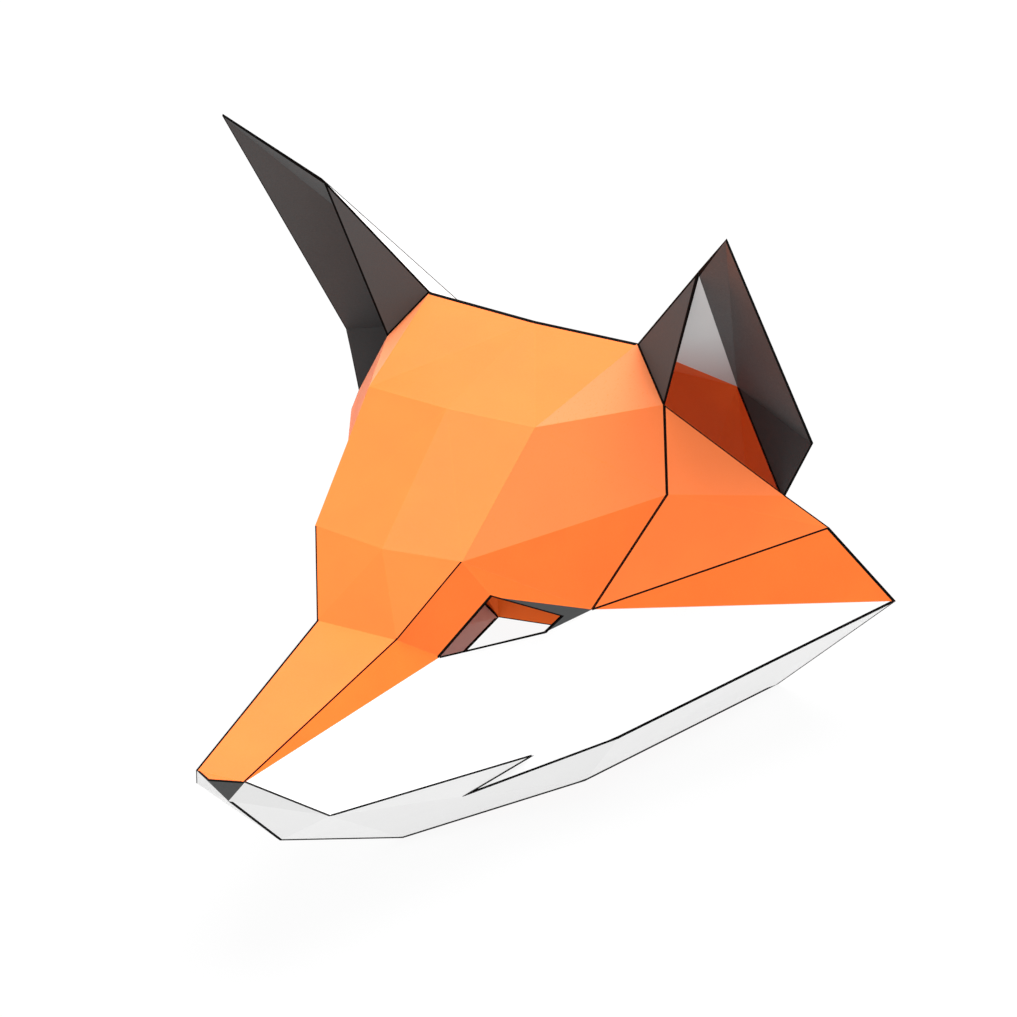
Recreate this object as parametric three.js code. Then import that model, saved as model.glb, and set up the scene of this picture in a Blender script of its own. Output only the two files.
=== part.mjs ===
// Fox mask of folded card: a hollow, faceted fox head that is worn over the
// head. It is closed behind, open at the neck, and open at the eyes and at the
// front of each ear. Every piece is a flat card of even thickness, scored and
// folded along straight lines, and the cards meet edge to edge in mitred seams.
//
// Millimetres, +Z up. The fox looks along -Y and its left side is +X. The
// origin is on the surface that the neck rim stands on, under the middle of
// the mask's bounding box.

import * as THREE from 'three';

// ---------------------------------------------------------------- sizes (mm)

const CARD = 1.2;           // thickness of the card
const SEAM = 0.3;           // gap between two cards along a seam
const SEAM_WEIGHT = 60;     // how strictly a corner keeps the gap, against staying in its facets
const BARE_WEIGHT = 0.3;    // how strictly a bare edge stays in line
const EVEN_PASSES = 24;     // passes that even out the thickness at a corner
const SOFTEN = 1e-3;        // keeps the corner offsets short at very sharp corners

// Corners of the folds on the fox's left half.
// out: distance from the middle plane; ahead: towards the nose; up: above the
// neck rim. The right half is the mirror image.
const CORNER_COLUMNS = ['corner', 'out', 'ahead', 'up'];
const CORNERS = [
  // top of the head, down the middle and beside it
  ['crownMid', 0, -109.5, 229.6],
  ['crown', 59.4, -108.5, 231.9],
  ['browMid', 0, -18.8, 220.1],
  ['brow', 47.4, -23.9, 218.8],
  ['stopMid', 0, 48.2, 170.9],
  ['stop', 42.0, 41.5, 170.9],
  ['bridge', 22.9, 74.2, 136.8],
  ['tip', 14.0, 214.8, 116.7],
  ['tipMid', 0, 228.7, 120.8],
  // nose, jaw and throat
  ['noseLow', 0, 206.6, 99.1],
  ['lip', 38.2, 170.8, 84.4],
  ['lipEnd', 65.0, 11.8, 55.1],
  ['chinMid', 0, 153.4, 53.9],
  ['jawNotch', 48.5, 51.7, 46.1],
  ['jawCorner', 88.0, -37.4, 49.2],
  // eye
  ['eyeInner', 35.0, 51.6, 120.5],
  ['eyeTop', 50.2, 25.4, 146.3],
  ['eyeBack', 65.4, -19.4, 119.5],
  ['eyeLow', 60.8, -10.7, 113.5],
  ['eyeOuter', 72.8, -37.1, 117.5],
  // side of the head
  ['temple', 88.5, -86.0, 164.2],
  ['flare', 136.7, -166.7, 122.2],
  ['cheekTip', 155.8, -200.8, 70.9],
  // ear
  ['earFront', 79.2, -99.9, 206.0],
  ['earShoulder', 107.6, -83.8, 294.5],
  ['earTip', 144.1, -47.4, 337.6],
  ['earElbow', 133.6, -155.6, 173.5],
  ['earRear', 122.0, -147.9, 144.7],
  ['earRoot', 73.5, -186.8, 178.1],
  // neck rim
  ['throat', 0, 26.6, 0],
  ['neckSide', 57.0, -58.3, 8.6],
  ['neckCorner', 80.4, -215.3, 0],
  ['neckBack', 0, -228.3, 0],
];

// The neck rim is cut level, so that the mask stands on it.
const LEVEL_CUT = ['throat', 'neckSide', 'neckCorner', 'neckBack'];

// The three colours of card.
const CARD_COLOURS = {
  orange: { color: 0xff8a3c, roughness: 0.78, metalness: 0 },
  white: { color: 0xf4f3f0, roughness: 0.75, metalness: 0 },
  dark: { color: 0x4a4848, roughness: 0.82, metalness: 0 },
};

// The cut pieces. across: one card folded over the middle plane, or a pair of
// cards, one on each side. Each fold line lies between two of the facets, and
// a facet lists its corners counter-clockwise seen from outside. A corner with
// a minus sign is the one on the fox's right.
const PIECE_COLUMNS = ['piece', 'colour', 'across', 'facets'];
const PIECES = [
  ['forehead', 'orange', true, [
    'brow crown crownMid', 'browMid brow crownMid', 'brow earFront crown', 'temple earFront brow',
    'stop temple brow', 'stop brow browMid', 'stopMid stop browMid', 'eyeOuter temple stop']],
  ['snout_bridge', 'orange', true, [
    'bridge stop stopMid', 'bridge- bridge stopMid', 'bridge- tip- tip bridge', 'tip- tipMid tip']],
  ['snout_side', 'orange', false, [
    'tip eyeInner bridge', 'eyeInner eyeTop stop bridge', 'eyeTop eyeOuter stop']],
  ['side', 'orange', false, [
    'temple earRear earFront', 'flare earRear temple', 'eyeOuter flare temple', 'cheekTip flare eyeOuter']],
  ['crown_back', 'orange', true, ['crown earRoot crownMid', 'earRoot earRoot- crownMid']],
  ['back_side', 'orange', false, [
    'neckCorner earRoot earRear', 'flare neckCorner earRear', 'cheekTip neckCorner flare']],
  ['nape', 'orange', true, ['neckCorner neckBack earRoot', 'neckBack earRoot- earRoot']],
  ['cheek', 'white', false, [
    'lip eyeInner tip', 'lip lipEnd eyeInner', 'lipEnd eyeLow eyeInner', 'lipEnd eyeOuter eyeLow',
    'lipEnd jawCorner eyeOuter', 'jawCorner cheekTip eyeOuter', 'jawNotch jawCorner lipEnd']],
  ['under_cheek', 'white', false, [
    'neckSide jawCorner jawNotch', 'neckSide neckCorner jawCorner', 'neckCorner cheekTip jawCorner']],
  ['jaw', 'white', true, [
    'noseLow lip tip', 'chinMid lip noseLow', 'chinMid throat lip', 'throat jawNotch lip',
    'throat neckSide jawNotch', 'jawNotch lipEnd lip']],
  ['nose', 'dark', true, ['noseLow tip tipMid']],
  ['eye_corner', 'dark', false, ['eyeBack eyeOuter eyeTop', 'eyeLow eyeOuter eyeBack']],
  ['ear_front', 'dark', false, ['earFront earShoulder crown']],
  ['ear_inner', 'white', false, ['earShoulder earRoot crown']],
  ['ear_back', 'dark', false, ['earTip earRoot earShoulder', 'earElbow earRoot earTip', 'earRear earRoot earElbow']],
];

// ------------------------------------------------------ corners of both halves

const rows = (columns, table) => table.map((row) => Object.fromEntries(columns.map((key, i) => [key, row[i]])));

const outer = new Map();
for (const { corner, out, ahead, up } of rows(CORNER_COLUMNS, CORNERS)) {
  outer.set(corner, new THREE.Vector3(out, -ahead, up));
  if (out > 0) outer.set(`${corner}-`, new THREE.Vector3(-out, -ahead, up));
}

// The corner's mirror image. A corner on the middle plane is its own.
function mirrored(corner) {
  if (corner.endsWith('-')) return corner.slice(0, -1);
  return outer.has(`${corner}-`) ? `${corner}-` : corner;
}

// ------------------------------------------------- facets of each cut piece

const pieces = [];
for (const { piece, colour, across, facets } of rows(PIECE_COLUMNS, PIECES)) {
  const left = facets.map((text) => text.split(' '));
  const right = left.map((facet) => facet.map(mirrored).reverse());
  if (!across) {
    pieces.push({ name: `${piece}_left`, colour, facets: left });
    pieces.push({ name: `${piece}_right`, colour, facets: right });
    continue;
  }
  // A facet that spans the middle plane is its own mirror image.
  const key = (facet) => [...facet].sort().join(' ');
  const onLeft = new Set(left.map(key));
  pieces.push({ name: piece, colour, facets: [...left, ...right.filter((facet) => !onLeft.has(key(facet)))] });
}

// Outward unit normal of a facet.
function facetNormal(facet) {
  const sum = new THREE.Vector3();
  facet.forEach((corner, i) => {
    sum.add(new THREE.Vector3().crossVectors(outer.get(corner), outer.get(facet[(i + 1) % facet.length])));
  });
  return sum.normalize();
}

// ------------------------------------------------------------ small solver
// The shift that best meets a list of rules, each one saying how far the shift
// goes along a direction.

function bestShift(rules) {
  const m = [SOFTEN, 0, 0, 0, SOFTEN, 0, 0, 0, SOFTEN];
  const rhs = new THREE.Vector3();
  for (const { along, distance, weight } of rules) {
    const v = along.toArray();
    for (let r = 0; r < 3; r++) for (let c = 0; c < 3; c++) m[3 * r + c] += weight * v[r] * v[c];
    rhs.addScaledVector(along, weight * distance);
  }
  return rhs.applyMatrix3(new THREE.Matrix3().set(...m).invert());
}

// -------------------------------------------------- inner face of the card
// Each corner moves inwards until the facets around it are one card thick.
// Where more than three facets meet, no point is exact for all of them, so the
// passes give more weight to the facets that came out thin.

const normalsAt = new Map([...outer.keys()].map((corner) => [corner, []]));
for (const { facets } of pieces) {
  for (const facet of facets) facet.forEach((corner) => normalsAt.get(corner).push(facetNormal(facet)));
}

function inwardShift(corner) {
  const level = LEVEL_CUT.includes(corner.replace('-', ''));
  const rules = normalsAt.get(corner).map((normal) => (
    { along: level ? normal.clone().setZ(0) : normal, distance: -CARD, weight: 1 }));
  let shift;
  for (let pass = 0; pass < EVEN_PASSES; pass++) {
    shift = bestShift(rules);
    for (const rule of rules) rule.weight *= Math.sqrt(CARD / Math.max(-rule.along.dot(shift), 0.2 * CARD));
  }
  if (level) shift.z = 0;
  return shift;
}

const inwards = new Map([...outer.keys()].map((corner) => [corner, inwardShift(corner)]));

// --------------------------------------------------------------- the seams
// An edge is a seam if two pieces share it, a fold if one piece has it twice,
// and a bare edge of the card otherwise.

const edgeKey = (a, b) => [a, b].sort().join(' ');
const edgeOwners = new Map();
for (const { name, facets } of pieces) {
  for (const facet of facets) {
    facet.forEach((a, i) => {
      const key = edgeKey(a, facet[(i + 1) % facet.length]);
      edgeOwners.set(key, [...(edgeOwners.get(key) ?? []), name]);
    });
  }
}

// The edges where this piece's card ends, in the order of its outline.
function outlineEdges({ name, facets }) {
  const edges = [];
  for (const facet of facets) {
    facet.forEach((a, i) => {
      const b = facet[(i + 1) % facet.length];
      const owners = edgeOwners.get(edgeKey(a, b));
      if (owners.filter((owner) => owner === name).length > 1) return;
      edges.push({ a, b, facet, seam: owners.some((owner) => owner !== name) });
    });
  }
  return edges;
}

// How a corner of the piece moves into its card, so that each seam stays open
// by half of the gap on this side and each bare edge stays in line.
function seamShift(corner, piece, edges) {
  const rules = [];
  for (const { a, b, facet, seam } of edges) {
    if (a !== corner && b !== corner) continue;
    const run = outer.get(b).clone().sub(outer.get(a)).normalize();
    const intoCard = new THREE.Vector3().crossVectors(facetNormal(facet), run);
    const across = new THREE.Vector3().crossVectors(run, inwards.get(corner)).normalize();
    if (across.dot(intoCard) < 0) across.negate();
    rules.push({ along: across, distance: seam ? SEAM / 2 : 0, weight: seam ? SEAM_WEIGHT : BARE_WEIGHT });
  }
  if (!rules.length) return new THREE.Vector3();
  for (const facet of piece.facets) {
    if (facet.includes(corner)) rules.push({ along: facetNormal(facet), distance: 0, weight: 1 });
  }
  return bestShift(rules);
}

// ------------------------------------------------------------- the solids

// A cut piece: its outer facets, its inner facets, and a wall along each edge
// where the card ends.
function cardGeometry(piece) {
  const edges = outlineEdges(piece);
  const corners = new Set(piece.facets.flat());
  const front = new Map();
  const back = new Map();
  for (const corner of corners) {
    const point = outer.get(corner).clone().add(seamShift(corner, piece, edges));
    front.set(corner, point);
    back.set(corner, point.clone().add(inwards.get(corner)));
  }
  const points = [];
  for (const facet of piece.facets) {
    for (let i = 1; i + 1 < facet.length; i++) {
      const fan = [facet[0], facet[i], facet[i + 1]];
      points.push(...fan.map((corner) => front.get(corner)));
      points.push(...fan.map((corner) => back.get(corner)).reverse());
    }
  }
  for (const { a, b } of edges) {
    const [fa, fb, ba, bb] = [front.get(a), front.get(b), back.get(a), back.get(b)];
    // Both sides of a seam split their wall along the same diagonal.
    if (a < b) points.push(fb, fa, bb, fa, ba, bb);
    else points.push(fb, fa, ba, fb, ba, bb);
  }
  const geometry = new THREE.BufferGeometry().setFromPoints(points);
  geometry.computeVertexNormals();
  return geometry;
}

// ---------------------------------------------------------------- the mask

const mask = new THREE.Group();
mask.name = 'fox_mask';
for (const piece of pieces) {
  const mesh = new THREE.Mesh(cardGeometry(piece), new THREE.MeshStandardMaterial(CARD_COLOURS[piece.colour]));
  mesh.name = piece.name;
  mask.add(mesh);
}

export default mask;
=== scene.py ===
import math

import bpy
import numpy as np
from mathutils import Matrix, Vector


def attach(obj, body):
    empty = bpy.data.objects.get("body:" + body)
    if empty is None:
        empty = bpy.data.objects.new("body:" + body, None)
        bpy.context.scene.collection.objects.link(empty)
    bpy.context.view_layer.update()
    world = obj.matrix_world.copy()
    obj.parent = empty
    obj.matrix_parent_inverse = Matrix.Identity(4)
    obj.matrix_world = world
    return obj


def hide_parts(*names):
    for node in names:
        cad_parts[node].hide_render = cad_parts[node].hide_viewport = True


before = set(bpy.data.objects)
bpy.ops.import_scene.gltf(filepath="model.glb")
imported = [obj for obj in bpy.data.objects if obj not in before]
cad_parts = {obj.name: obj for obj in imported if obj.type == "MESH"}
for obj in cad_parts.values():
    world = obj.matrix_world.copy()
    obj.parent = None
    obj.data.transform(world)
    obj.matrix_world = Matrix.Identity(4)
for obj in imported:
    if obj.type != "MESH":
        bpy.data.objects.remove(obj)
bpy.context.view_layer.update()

# Looks of a fox mask of folded card. Every card is rebuilt here with its drawn
# lines, on the same corners as the solids: metres, +Z up, the fox looks along
# -Y, its left side is +X, and the neck rim stands on z = 0.

MM = 0.001

# ------------------------------------------------------------------- sizes (mm)

CARD = 1.2             # thickness of the card
SEAM = 0.03            # gap that is left along a glued seam
SEAM_WEIGHT = 60.0     # how strictly a corner keeps the gap
BARE_WEIGHT = 0.3      # how strictly a bare edge stays in line
EVEN_PASSES = 24       # passes that even out the thickness at a corner
SOFTEN = 1e-3          # keeps the offsets short at very sharp corners
CREASE = 0.55          # width of the rubbed band beside a fold with no line
STRAIGHT = 0.15        # bend, in radians, below which a line runs straight on

# Corners of the folds on the fox's left half: out from the middle plane, ahead
# towards the nose, up from the neck rim.
CORNERS = {
    # top of the head, down the middle and beside it
    "crownMid": (0, -109.5, 229.6), "crown": (59.4, -108.5, 231.9),
    "browMid": (0, -18.8, 220.1), "brow": (47.4, -23.9, 218.8),
    "stopMid": (0, 48.2, 170.9), "stop": (42.0, 41.5, 170.9),
    "bridge": (22.9, 74.2, 136.8), "tip": (14.0, 214.8, 116.7), "tipMid": (0, 228.7, 120.8),
    # nose, jaw and throat
    "noseLow": (0, 206.6, 99.1), "lip": (38.2, 170.8, 84.4), "lipEnd": (65.0, 11.8, 55.1),
    "chinMid": (0, 153.4, 53.9), "jawNotch": (48.5, 51.7, 46.1), "jawCorner": (88.0, -37.4, 49.2),
    # eye
    "eyeInner": (35.0, 51.6, 120.5), "eyeTop": (50.2, 25.4, 146.3), "eyeBack": (65.4, -19.4, 119.5),
    "eyeLow": (60.8, -10.7, 113.5), "eyeOuter": (72.8, -37.1, 117.5),
    # side of the head
    "temple": (88.5, -86.0, 164.2), "flare": (136.7, -166.7, 122.2), "cheekTip": (155.8, -200.8, 70.9),
    # ear
    "earFront": (79.2, -99.9, 206.0), "earShoulder": (107.6, -83.8, 294.5), "earTip": (144.1, -47.4, 337.6),
    "earElbow": (133.6, -155.6, 173.5), "earRear": (122.0, -147.9, 144.7), "earRoot": (73.5, -186.8, 178.1),
    # neck rim
    "throat": (0, 26.6, 0), "neckSide": (57.0, -58.3, 8.6), "neckCorner": (80.4, -215.3, 0),
    "neckBack": (0, -228.3, 0),
}
LEVEL_CUT = ("throat", "neckSide", "neckCorner", "neckBack")

# piece, card, across the middle plane, facets with corners counter-clockwise
# seen from outside; a minus sign marks a corner on the fox's right.
PIECES = [
    ("forehead", "orange_card", True,
     "brow crown crownMid, browMid brow crownMid, brow earFront crown, temple earFront brow, "
     "stop temple brow, stop brow browMid, stopMid stop browMid, eyeOuter temple stop"),
    ("snout_bridge", "orange_card", True,
     "bridge stop stopMid, bridge- bridge stopMid, bridge- tip- tip bridge, tip- tipMid tip"),
    ("snout_side", "orange_card", False,
     "tip eyeInner bridge, eyeInner eyeTop stop bridge, eyeTop eyeOuter stop"),
    ("side", "orange_card", False,
     "temple earRear earFront, flare earRear temple, eyeOuter flare temple, cheekTip flare eyeOuter"),
    ("crown_back", "orange_card", True, "crown earRoot crownMid, earRoot earRoot- crownMid"),
    ("back_side", "orange_card", False,
     "neckCorner earRoot earRear, flare neckCorner earRear, cheekTip neckCorner flare"),
    ("nape", "orange_card", True, "neckCorner neckBack earRoot, neckBack earRoot- earRoot"),
    ("cheek", "white_card", False,
     "lip eyeInner tip, lip lipEnd eyeInner, lipEnd eyeLow eyeInner, lipEnd eyeOuter eyeLow, "
     "lipEnd jawCorner eyeOuter, jawCorner cheekTip eyeOuter, jawNotch jawCorner lipEnd"),
    ("under_cheek", "white_card", False,
     "neckSide jawCorner jawNotch, neckSide neckCorner jawCorner, neckCorner cheekTip jawCorner"),
    ("jaw", "white_card", True,
     "noseLow lip tip, chinMid lip noseLow, chinMid throat lip, throat jawNotch lip, "
     "throat neckSide jawNotch, jawNotch lipEnd lip"),
    ("nose", "dark_card", True, "noseLow tip tipMid"),
    ("eye_corner", "dark_card", False, "eyeBack eyeOuter eyeTop, eyeLow eyeOuter eyeBack"),
    ("ear_front", "dark_card", False, "earFront earShoulder crown"),
    ("ear_inner", "white_card", False, "earShoulder earRoot crown"),
    ("ear_back", "dark_card", False,
     "earTip earRoot earShoulder, earElbow earRoot earTip, earRear earRoot earElbow"),
]

# Drawn lines (mm): the edge's two corners, the line's width on the outer
# facets beside it (one number, or one for each of the two cards that meet),
# its width on the inner facets, and if the cut edge is inked.
INK = [
    ("crownMid", "crown", {"forehead": 2.3, "crown_back": 0.6}, 0.0, False),
    ("crown", "earFront", 0.80, 0.0, False),
    ("earFront", "temple", 0.86, 0.0, False),
    ("temple", "eyeOuter", 0.80, 0.0, False),
    ("earFront", "earShoulder", 1.00, 0.40, True),
    ("earShoulder", "earTip", 0.50, 0.20, True),
    ("earShoulder", "crown", {"ear_front": 1.0, "ear_inner": 0.6}, 0.0, False),
    ("earShoulder", "earRoot", {"ear_inner": 2.4, "ear_back": 0.6}, 0.0, False),
    ("earRoot", "earRear", 0.50, 1.00, False),
    ("earTip", "earElbow", 0.50, 0.50, True),
    ("earElbow", "earRear", 0.50, 0.20, True),
    ("earFront", "earRear", 0.55, 0.30, False),
    ("earRear", "flare", 0.65, 0.0, False),
    ("eyeOuter", "flare", 0.52, 0.0, False),
    ("flare", "cheekTip", {"side": 1.5, "back_side": 0.8}, 0.0, False),
    ("cheekTip", "jawCorner", 1.30, 0.0, False),
    ("jawCorner", "jawNotch", 0.96, 0.0, False),
    ("cheekTip", "neckCorner", {"under_cheek": 2.8, "back_side": 0.8}, 1.30, False),
    ("throat", "neckSide", 5.00, 1.30, True),
    ("neckSide", "neckCorner", 3.60, 1.30, True),
    ("neckCorner", "neckBack", 2.00, 0.60, True),
    ("chinMid", "throat", 2.40, 0.0, False),
    ("noseLow", "chinMid", 1.80, 0.0, False),
    ("tip", "lip", 0.62, 0.0, False),
    ("lip", "lipEnd", 0.62, 0.0, False),
    ("lipEnd", "jawNotch", 0.62, 0.0, False),
    ("tip", "tipMid", 1.60, 0.0, False),
    ("stop", "bridge", {"snout_bridge": 0.80, "snout_side": 0.0}, 0.0, False),
    ("bridge", "tip", {"snout_bridge": 1.10, "snout_side": 0.0}, 0.0, False),
    ("eyeInner", "eyeTop", 1.80, 0.40, True),
    ("eyeTop", "eyeBack", 0.70, 0.30, True),
    ("eyeBack", "eyeLow", 0.80, 0.30, True),
    ("eyeLow", "eyeInner", 0.62, 0.30, True),
    ("earRoot", "neckCorner", 0.60, 0.0, False),
    ("earRoot", "earRoot-", 0.60, 0.0, False),
    ("crown", "earRoot", 0.55, 0.0, False),
]

# How much of its painted light and shade colour each facet takes, from 0 to 1. On orange card it is a
# paler orange, a painted highlight and sheen, most on and before the ear fronts, less beside them, and a
# little painted light from above where it faces up. On dark card it is a paler grey, a painted highlight on
# the ear fronts and at the eye corners. On white card it is a grey, painted shade, most under the nose and
# less along the jaw.
PAINTED_SHADING = [
    (1.0, "brow earFront crown, earFront earShoulder crown, noseLow lip tip"),
    (0.4, "temple earFront brow, stop temple brow, temple earRear earFront, "
          "eyeBack eyeOuter eyeTop, eyeLow eyeOuter eyeBack, "
          "chinMid lip noseLow, throat jawNotch lip, throat neckSide jawNotch, neckSide jawCorner jawNotch"),
    (0.15, "brow crown crownMid, browMid brow crownMid, stop brow browMid, stopMid stop browMid, "
           "bridge stop stopMid, bridge- bridge stopMid, bridge- tip- tip bridge, tip- tipMid tip, "
           "flare earRear temple, eyeOuter flare temple"),
]

# ------------------------------------------------------- corners of both halves

outer = {}
for corner, (out, ahead, up) in CORNERS.items():
    outer[corner] = np.array((out, -ahead, up), float)
    if out > 0:
        outer[corner + "-"] = np.array((-out, -ahead, up), float)


def mirrored(corner):
    if corner.endswith("-"):
        return corner[:-1]
    return corner + "-" if corner + "-" in outer else corner


def unit(v):
    return v / np.linalg.norm(v)


def facet_normal(facet):
    return unit(sum(np.cross(outer[a], outer[b]) for a, b in zip(facet, facet[1:] + facet[:1])))


cards = []
for piece, slot, across, text in PIECES:
    left = [facet.split() for facet in text.split(",")]
    right = [[mirrored(c) for c in reversed(facet)] for facet in left]
    if across:
        have = {frozenset(f) for f in left}
        cards.append((piece, slot, left + [f for f in right if frozenset(f) not in have]))
    else:
        cards.append((piece + "_left", slot, left))
        cards.append((piece + "_right", slot, right))

ink = {}
for a, b, on_outer, on_inner, on_cut in INK:
    for key in (frozenset((a, b)), frozenset((mirrored(a), mirrored(b)))):
        ink[key] = (on_outer, on_inner, on_cut)


def outer_line(key, piece):
    """The width of the line beside an edge on one card's outer face, or None."""
    width = ink[key][0] if key in ink else None
    if isinstance(width, dict):
        width = width[piece.removesuffix("_left").removesuffix("_right")]
    return width


painted_shading = {}
for amount, text in PAINTED_SHADING:
    for facet in text.split(","):
        facet = facet.split()
        painted_shading[frozenset(facet)] = painted_shading[frozenset(mirrored(c) for c in facet)] = amount

# ------------------------------------------- inner face, seams and card outlines


def best_shift(rules):
    """The shift that best meets a list of (direction, distance, weight)."""
    m = np.eye(3) * SOFTEN
    rhs = np.zeros(3)
    for along, distance, weight in rules:
        m += weight * np.outer(along, along)
        rhs += weight * distance * along
    return np.linalg.solve(m, rhs)


normals_at = {c: [] for c in outer}
for _, _, facets in cards:
    for facet in facets:
        for c in facet:
            normals_at[c].append(facet_normal(facet))


def inward_shift(corner):
    level = corner.rstrip("-") in LEVEL_CUT
    alongs = [n * (1, 1, 0) if level else n for n in normals_at[corner]]
    weights = [1.0] * len(alongs)
    for _ in range(EVEN_PASSES):
        shift = best_shift([(n, -CARD, w) for n, w in zip(alongs, weights)])
        weights = [w * math.sqrt(CARD / max(-n @ shift, 0.2 * CARD)) for n, w in zip(alongs, weights)]
    if level:
        shift[2] = 0
    return shift


inwards = {c: inward_shift(c) for c in outer}

owners, beside = {}, {}
for piece, _, facets in cards:
    for facet in facets:
        for a, b in zip(facet, facet[1:] + facet[:1]):
            owners.setdefault(frozenset((a, b)), []).append(piece)
            beside.setdefault(frozenset((a, b)), []).append((piece, facet))


def outline(piece, facets):
    """The edges where this card ends: (a, b, facet, True if it is a seam)."""
    edges = []
    for facet in facets:
        for a, b in zip(facet, facet[1:] + facet[:1]):
            own = owners[frozenset((a, b))]
            if own.count(piece) == 1:
                edges.append((a, b, facet, len(own) > 1))
    return edges


def seam_shift(corner, facets, edges):
    rules = []
    for a, b, facet, seam in edges:
        if corner not in (a, b):
            continue
        run = unit(outer[b] - outer[a])
        across = unit(np.cross(run, inwards[corner]))
        if across @ np.cross(facet_normal(facet), run) < 0:
            across = -across
        rules.append((across, SEAM / 2 if seam else 0.0, SEAM_WEIGHT if seam else BARE_WEIGHT))
    if not rules:
        return np.zeros(3)
    rules += [(facet_normal(f), 0.0, 1.0) for f in facets if corner in f]
    return best_shift(rules)


# ---------------------------------------------------------------- card meshes
# Each facet is cut into lines, rubbed bands beside the plain folds, and the
# field between them, so that a line is a part of the card's own surface.

FIELD, LINE, INSIDE = 0, 1, 2


def cut(polygon, origin, along, limit):
    """A convex polygon, cut at a distance from a line: (near part, far part)."""
    near, far = [], []
    d = [float((p - origin) @ along - limit) for p in polygon]
    d = [0.0 if abs(x) < 1e-7 else x for x in d]
    for i, p in enumerate(polygon):
        j = (i + 1) % len(polygon)
        if d[i] <= 0:
            near.append(p)
        if d[i] >= 0:
            far.append(p)
        if d[i] * d[j] < 0:
            x = p + (polygon[j] - p) * (d[i] / (d[i] - d[j]))
            near.append(x)
            far.append(x)
    return near, far


def wide(polygon):
    """True for a polygon that is more than a sliver."""
    if len(polygon) < 3:
        return False
    area = sum(np.cross(polygon[i] - polygon[0], polygon[i + 1] - polygon[0]) for i in range(1, len(polygon) - 1))
    return np.linalg.norm(area) > 1e-6


def facet_parts(corners, widths, field, joints=()):
    """Parts of one facet: [(polygon, LINE or field)]. widths gives each edge's
    line, or None where the edge has no line and is rubbed instead. joints gives
    the corners that lines pass on the facets beside this one."""
    points = [np.array(p) for p in corners]
    normal = unit(sum(np.cross(points[i], points[(i + 1) % len(points)]) for i in range(len(points))))
    sides = []
    for i, width in enumerate(widths):
        a, b = points[i], points[(i + 1) % len(points)]
        sides.append((a, unit(np.cross(normal, b - a)), width))
    parts, rest = [], points
    for a, along, width in sorted((s for s in sides if s[2]), key=lambda s: -s[2]):
        near, rest = cut(rest, a, along, width)
        if wide(near):
            parts.append((near, LINE))
    plain = [rest]
    for i, (width_a, turn_a), (width_b, turn_b) in joints:
        p = points[i]
        a, b = unit(points[(i + 1) % len(points)] - p), unit(points[i - 1] - p)
        across_a = a * math.sin(turn_a) + np.cross(normal, a) * math.cos(turn_a)
        across_b = b * math.sin(turn_b) - np.cross(normal, b) * math.cos(turn_b)
        end_a, end_b = a * (width_a / math.sin(turn_a)), b * (width_b / math.sin(turn_b))
        cuts = [(across_a, width_a), (across_b, width_b)]
        bend = math.acos(a @ b) + turn_a + turn_b - math.pi
        outside = bend > 0
        if abs(bend) < STRAIGHT:
            along = unit(np.cross(end_b - end_a, normal))
            cuts = [(along, end_a @ along)]
        elif outside:
            cuts = [(along, max(width, end_a @ along, end_b @ along))
                    for along, width in cuts + [(unit(across_a + across_b), max(width_a, width_b))]]
        left = []
        for rest in plain:
            for along, width in cuts:
                near, far = cut(rest, p, along, width)
                if outside:
                    left.append(far)
                    rest = near
                else:
                    if wide(near):
                        parts.append((near, LINE))
                    rest = far
                if not wide(rest):
                    break
            if wide(rest):
                if outside:
                    parts.append((rest, LINE))
                else:
                    left.append(rest)
        plain = [rest for rest in left if wide(rest)]
    for a, along, width in sides:
        if width is None:
            left = []
            for rest in plain:
                near, far = cut(rest, a, along, CREASE)
                if wide(near):
                    parts.append((near, field))
                if wide(far):
                    left.append(far)
            plain = left
    return parts + [(rest, field) for rest in plain if wide(rest)]


def line_beyond(corner, end, facet):
    """The line that meets a corner on the facet beyond a fold: its width and its
    angle to that fold, or None."""
    for piece, other in beside[frozenset((corner, end))]:
        if other is not facet:
            i = other.index(corner)
            far = next(c for c in (other[i - 1], other[(i + 1) % len(other)]) if c != end)
            width = outer_line(frozenset((corner, far)), piece)
            if width:
                turn = math.acos(unit(outer[end] - outer[corner]) @ unit(outer[far] - outer[corner]))
                return width, min(turn, math.pi / 2)
    return None


def line_joints(facet, widths):
    """The corners of a facet that lines pass on other facets: (place in the
    facet, the line beyond the next edge, the line beyond the last edge)."""
    joints = []
    for i, c in enumerate(facet):
        if widths[i] is None and widths[i - 1] is None and sum(c in key for key in ink) > 1:
            ahead = line_beyond(c, facet[(i + 1) % len(facet)], facet)
            behind = line_beyond(c, facet[i - 1], facet)
            if ahead or behind:
                joints.append((i, ahead or (behind[0], math.pi / 2), behind or (ahead[0], math.pi / 2)))
    return joints


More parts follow.
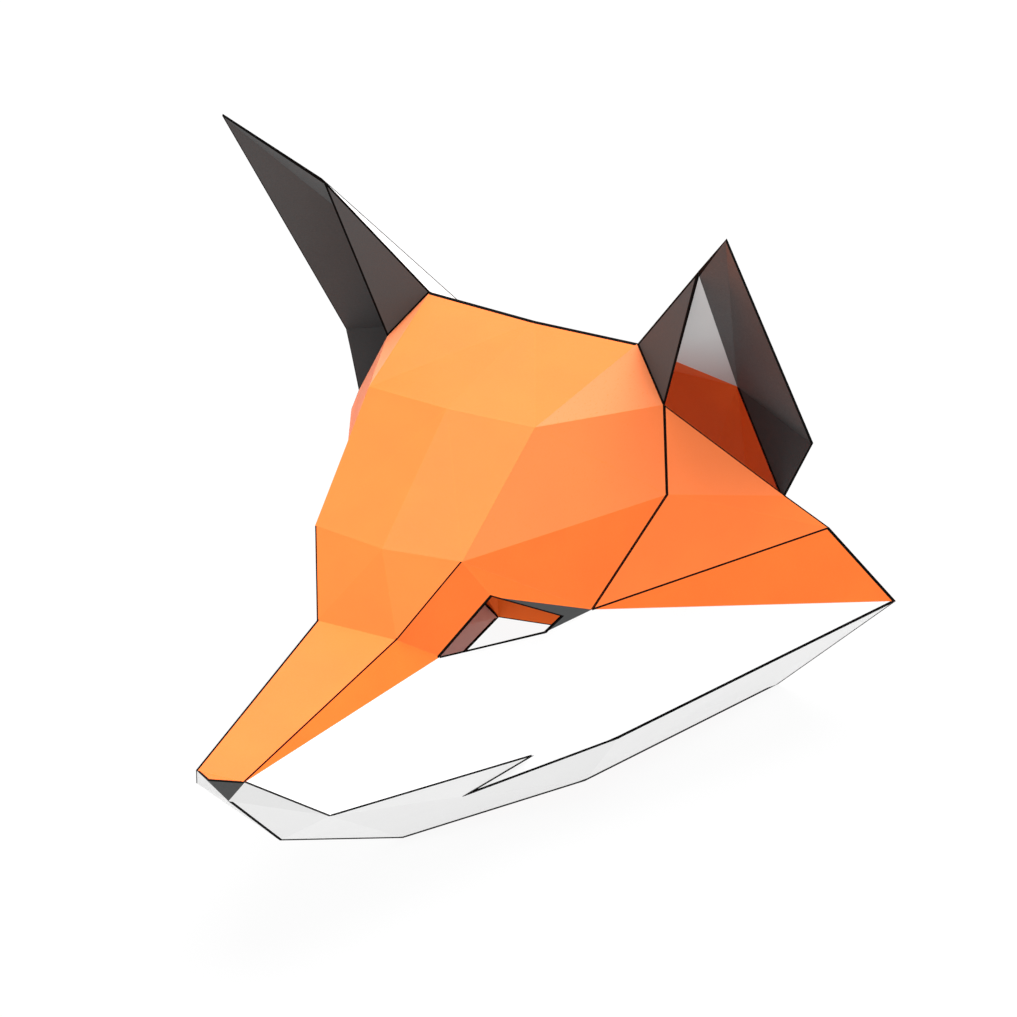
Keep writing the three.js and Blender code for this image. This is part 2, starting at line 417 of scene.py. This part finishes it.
class Sheet:
    """Collects the polygons of one card and joins them at shared corners."""

    def __init__(self):
        self.points, self.index, self.faces, self.kinds, self.tones = [], {}, [], [], []

    def vertex(self, p):
        base = tuple(int(round(x * 2000)) for x in p)
        for dx in (0, -1, 1):
            for dy in (0, -1, 1):
                for dz in (0, -1, 1):
                    i = self.index.get((base[0] + dx, base[1] + dy, base[2] + dz))
                    if i is not None and np.linalg.norm(self.points[i] - p) < 6e-4:
                        return i
        self.points.append(np.array(p))
        self.index[base] = len(self.points) - 1
        return len(self.points) - 1

    def add(self, polygon, kind, tone=0.0):
        loop = []
        for p in polygon:
            i = self.vertex(p)
            if i not in loop:
                loop.append(i)
        if len(loop) > 2:
            self.faces.append(loop)
            self.kinds.append(kind)
            self.tones.append(tone)

    def knit(self):
        """Puts every corner that lies on another polygon's edge into that edge."""
        pts = np.array(self.points)
        for f, loop in enumerate(self.faces):
            new = []
            for i, j in zip(loop, loop[1:] + loop[:1]):
                a, b = pts[i], pts[j]
                run = b - a
                t = (pts - a) @ run / (run @ run)
                off = np.linalg.norm(pts - a - np.outer(t, run), axis=1)
                on = [k for k in np.nonzero((off < 8e-4) & (t > 1e-6) & (t < 1 - 1e-6))[0] if k not in loop]
                new.append(i)
                new += sorted(on, key=lambda k: t[k])
            self.faces[f] = [int(k) for k in new]


def on_segment(p, a, b):
    run = b - a
    t = float((p - a) @ run / (run @ run))
    return t if -1e-6 <= t <= 1 + 1e-6 and np.linalg.norm(p - a - t * run) < 8e-4 else None


def card_mesh(piece, facets):
    edges = outline(piece, facets)
    front, back = {}, {}
    for c in {c for f in facets for c in f}:
        front[c] = outer[c] + seam_shift(c, facets, edges)
        back[c] = front[c] + inwards[c]
    sheet = Sheet()
    plain = []   # folds and seams with no line, on the outer face
    for facet in facets:
        keys = [frozenset(e) for e in zip(facet, facet[1:] + facet[:1])]
        widths = [outer_line(k, piece) for k in keys]
        plain += [(front[a], front[b]) for a, b, w in zip(facet, facet[1:] + facet[:1], widths) if w is None]
        # each outer facet carries its share of painted highlight and painted shade from the table above
        for polygon, kind in facet_parts([front[c] for c in facet], widths, FIELD, line_joints(facet, widths)):
            sheet.add(polygon, kind, painted_shading.get(frozenset(facet), 0.0))
        # the inner face, seen from inside
        turned = facet[::-1]
        keys = [frozenset(e) for e in zip(turned, turned[1:] + turned[:1])]
        widths = [ink[k][1] if k in ink and ink[k][1] else 0.0 for k in keys]
        for polygon, kind in facet_parts([back[c] for c in turned], widths, INSIDE):
            sheet.add(polygon, kind)
    # the walls along the outline, in quads between the marks of both faces
    for a, b, _, _ in edges:
        marks = {0.0, 1.0}
        for p in sheet.points:
            for side in (front, back):
                t = on_segment(p, side[a], side[b])
                if t is not None and all(abs(t - m) > 2e-4 for m in marks):
                    marks.add(t)
        kind = LINE if ink.get(frozenset((a, b)), (0, 0, False))[2] else FIELD
        marks = sorted(marks)
        for s, t in zip(marks, marks[1:]):
            sheet.add([front[a] + (front[b] - front[a]) * t, front[a] + (front[b] - front[a]) * s,
                       back[a] + (back[b] - back[a]) * s, back[a] + (back[b] - back[a]) * t], kind)
    sheet.knit()
    rub = [1.0 if any(on_segment(p, a, b) is not None for a, b in plain) else 0.0 for p in sheet.points]
    mesh = bpy.data.meshes.new(piece)
    mesh.from_pydata([tuple(p * MM) for p in sheet.points], [], sheet.faces)
    mesh.polygons.foreach_set("material_index", sheet.kinds)
    rubbed = mesh.attributes.new("rubbed", "FLOAT", "POINT")
    rubbed.data.foreach_set("value", rub)
    # per-facet share of painted highlight and painted shade
    painted_shading_layer = mesh.attributes.new("painted_shading", "FLOAT", "FACE")
    painted_shading_layer.data.foreach_set("value", sheet.tones)
    mesh.update()
    return mesh


# ------------------------------------------------------------------ materials


def new_material(name):
    material = bpy.data.materials.new(name)
    material.use_nodes = True
    tree = material.node_tree
    shader = next(n for n in tree.nodes if n.type == "BSDF_PRINCIPLED")
    return material, tree, shader


def noise(tree, where, scale, detail, roughness=0.55, stretch=None, turn=(0, 0, 0)):
    node = tree.nodes.new("ShaderNodeTexNoise")
    node.inputs["Scale"].default_value = scale
    node.inputs["Detail"].default_value = detail
    node.inputs["Roughness"].default_value = roughness
    if stretch:
        mapping = tree.nodes.new("ShaderNodeMapping")
        mapping.inputs["Scale"].default_value = stretch
        mapping.inputs["Rotation"].default_value = turn
        tree.links.new(where, mapping.inputs["Vector"])
        where = mapping.outputs["Vector"]
    tree.links.new(where, node.inputs["Vector"])
    return node.outputs["Fac"]


def ranged(tree, value, low, high, to_low, to_high):
    node = tree.nodes.new("ShaderNodeMapRange")
    node.inputs["From Min"].default_value = low
    node.inputs["From Max"].default_value = high
    node.inputs["To Min"].default_value = to_low
    node.inputs["To Max"].default_value = to_high
    tree.links.new(value, node.inputs["Value"])
    return node.outputs["Result"]


def mixed(tree, factor, a, b):
    node = tree.nodes.new("ShaderNodeMix")
    node.data_type = "RGBA"
    tree.links.new(factor, node.inputs[0])
    for socket, colour in ((node.inputs[6], a), (node.inputs[7], b)):
        if isinstance(colour, tuple):
            socket.default_value = (*colour, 1)
        else:
            tree.links.new(colour, socket)
    return node.outputs[2]


def card_material(name, shade, tint, fibre, rubbed, low_rough, high_rough, gloss=0.5, painted_shading=None):
    """Dyed card: cloudy colouring between shade and tint, fine fibres, folds that are rubbed a little paler,
    and facets that take a painted light and shade colour: a paler one is a painted highlight, a greyer one painted
    shade."""
    material, tree, shader = new_material(name)
    where = tree.nodes.new("ShaderNodeTexCoord").outputs["Object"]
    clouds = ranged(tree, noise(tree, where, 34, 3), 0.3, 0.7, 0, 1)
    grain = noise(tree, where, 950, 4, 0.6)
    fibres_a = noise(tree, where, 1, 2, 0.5, (260, 1900, 1900), (0.4, 0.2, 0.7))
    fibres_b = noise(tree, where, 1, 2, 0.5, (1900, 300, 1900), (0.1, 0.6, 0.3))
    colour = mixed(tree, clouds, shade, tint)
    # blend towards the painted light and shade colour: paler is a painted highlight, greyer is painted shade
    if painted_shading:
        tone = tree.nodes.new("ShaderNodeAttribute")
        tone.attribute_name = "painted_shading"
        colour = mixed(tree, tone.outputs["Fac"], colour, painted_shading)
    colour = mixed(tree, ranged(tree, fibres_a, 0.62, 0.74, 0, 0.55), colour, fibre)
    colour = mixed(tree, ranged(tree, fibres_b, 0.62, 0.74, 0, 0.55), colour, fibre)
    attribute = tree.nodes.new("ShaderNodeAttribute")
    attribute.attribute_name = "rubbed"
    worn = tree.nodes.new("ShaderNodeMath")
    worn.operation = "MULTIPLY"
    tree.links.new(attribute.outputs["Fac"], worn.inputs[0])
    tree.links.new(ranged(tree, noise(tree, where, 210, 3), 0.35, 0.65, 0.05, 0.5), worn.inputs[1])
    colour = mixed(tree, worn.outputs[0], colour, rubbed)
    tree.links.new(colour, shader.inputs["Base Color"])
    tree.links.new(ranged(tree, grain, 0.3, 0.7, low_rough, high_rough), shader.inputs["Roughness"])
    tooth = tree.nodes.new("ShaderNodeMath")
    tooth.operation = "ADD"
    tree.links.new(grain, tooth.inputs[0])
    tree.links.new(fibres_a, tooth.inputs[1])
    bump = tree.nodes.new("ShaderNodeBump")
    bump.inputs["Strength"].default_value = 0.18
    bump.inputs["Distance"].default_value = 0.0002
    tree.links.new(tooth.outputs[0], bump.inputs["Height"])
    tree.links.new(bump.outputs["Normal"], shader.inputs["Normal"])
    shader.inputs["Specular IOR Level"].default_value = gloss
    return material


def ink_material():
    """Dense black ink that has soaked into the card."""
    material, tree, shader = new_material("line_ink")
    where = tree.nodes.new("ShaderNodeTexCoord").outputs["Object"]
    soak = ranged(tree, noise(tree, where, 700, 3), 0.35, 0.65, 0, 1)
    tree.links.new(mixed(tree, soak, (0.0016, 0.0015, 0.0014), (0.004, 0.0037, 0.0034)), shader.inputs["Base Color"])
    tree.links.new(ranged(tree, soak, 0, 1, 0.75, 0.9), shader.inputs["Roughness"])
    shader.inputs["Specular IOR Level"].default_value = 0.04
    return material


# the outer face of each card, and its inner face: rougher and less glossy, and darker, the darker colour painted shade
# for the hollow inside of the mask
MATERIALS = {
    # the last colour of each outer face is its painted light and shade colour: paler orange and paler dark grey are
    # painted highlight, the white card's grey is painted shade
    "orange_card": (
        card_material("orange_card", (0.94, 0.152, 0.0065), (0.98, 0.168, 0.0085), (0.97, 0.180, 0.012),
                      (0.98, 0.200, 0.022), 0.48, 0.60, 0.36, (0.98, 0.268, 0.097)),
        card_material("orange_card_inside_shaded", (0.85, 0.128, 0.0050), (0.89, 0.140, 0.0065), (0.88, 0.150, 0.010),
                      (0.89, 0.160, 0.015), 0.60, 0.72, 0.2)),
    "white_card": (
        card_material("white_card", (0.818, 0.818, 0.818), (0.840, 0.840, 0.838), (0.800, 0.799, 0.795),
                      (0.86, 0.86, 0.86), 0.42, 0.54, 0.5, (0.748, 0.748, 0.746)),
        card_material("white_card_inside_shaded", (0.69, 0.69, 0.69), (0.71, 0.71, 0.708), (0.68, 0.679, 0.675),
                      (0.73, 0.73, 0.73), 0.60, 0.72, 0.3)),
    "dark_card": (
        card_material("dark_card", (0.0475, 0.0492, 0.0498), (0.0515, 0.0533, 0.0539), (0.060, 0.0612, 0.0616),
                      (0.072, 0.0728, 0.073), 0.60, 0.72, 0.24, (0.069, 0.0715, 0.0722)),
        card_material("dark_card_inside_shaded", (0.0385, 0.0425, 0.0436), (0.0425, 0.0466, 0.0477), (0.050, 0.0530, 0.054),
                      (0.060, 0.062, 0.063), 0.48, 0.60, 0.32)),
}
INK_MATERIAL = ink_material()

# --------------------------------------------------------------------- the mask

for piece, slot, facets in cards:
    card = bpy.data.objects.new("card_" + piece, card_mesh(piece, facets))
    bpy.context.scene.collection.objects.link(card)
    for material in (MATERIALS[slot][0], INK_MATERIAL, MATERIALS[slot][1]):
        card.data.materials.append(material)
    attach(card, "root")
    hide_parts(piece)

# ------------------------------------------------------- floor, light and camera

FLOOR_SIDE = 12.0
floor_mesh = bpy.data.meshes.new("floor")
h = FLOOR_SIDE / 2
floor_mesh.from_pydata([(-h, -h, -0.0002), (h, -h, -0.0002), (h, h, -0.0002), (-h, h, -0.0002)], [], [(0, 1, 2, 3)])
floor = bpy.data.objects.new("floor", floor_mesh)
bpy.context.scene.collection.objects.link(floor)
floor_material, _, floor_shader = new_material("floor")
floor_shader.inputs["Base Color"].default_value = (0.04, 0.04, 0.04, 1)
floor_shader.inputs["Roughness"].default_value = 0.9
floor_shader.inputs["Specular IOR Level"].default_value = 0.1
floor_shader.inputs["Emission Color"].default_value = (1, 1, 1, 1)
floor_shader.inputs["Emission Strength"].default_value = 0.93
floor_mesh.materials.append(floor_material)

world = bpy.data.worlds.new("studio")
world.use_nodes = True
background = next(n for n in world.node_tree.nodes if n.type == "BACKGROUND")
background.inputs["Color"].default_value = (1, 1, 1, 1)
background.inputs["Strength"].default_value = 1.0
bpy.context.scene.world = world

top_light = bpy.data.lights.new("top_light", "SUN")
top_light.energy = 3.8
top_light.angle = math.radians(55)
top = bpy.data.objects.new("top_light", top_light)
top.location = (0.3, 0.6, 2.9)
top.rotation_mode = "QUATERNION"
top.rotation_quaternion = Vector((-0.08, -0.13, -0.988)).to_track_quat("-Z", "Y")
bpy.context.scene.collection.objects.link(top)

scene = bpy.context.scene
scene.view_settings.view_transform = "Standard"
scene.view_settings.look = "None"

AZIMUTH, ELEVATION = math.radians(29.0), math.radians(26.5)
LOOK_AT = Vector((0.0509, -0.0096, 0.1890))
back = Vector((math.sin(AZIMUTH) * math.cos(ELEVATION), -math.cos(AZIMUTH) * math.cos(ELEVATION), math.sin(ELEVATION)))
camera_data = bpy.data.cameras.new("camera")
camera_data.type = "ORTHO"
camera_data.ortho_scale = 0.5085
camera_data.clip_start, camera_data.clip_end = 0.01, 60
camera = bpy.data.objects.new("camera", camera_data)
camera.location = LOOK_AT + back * 1.4
camera.rotation_mode = "QUATERNION"
camera.rotation_quaternion = (-back).to_track_quat("-Z", "Y")
scene.collection.objects.link(camera)
scene.camera = camera
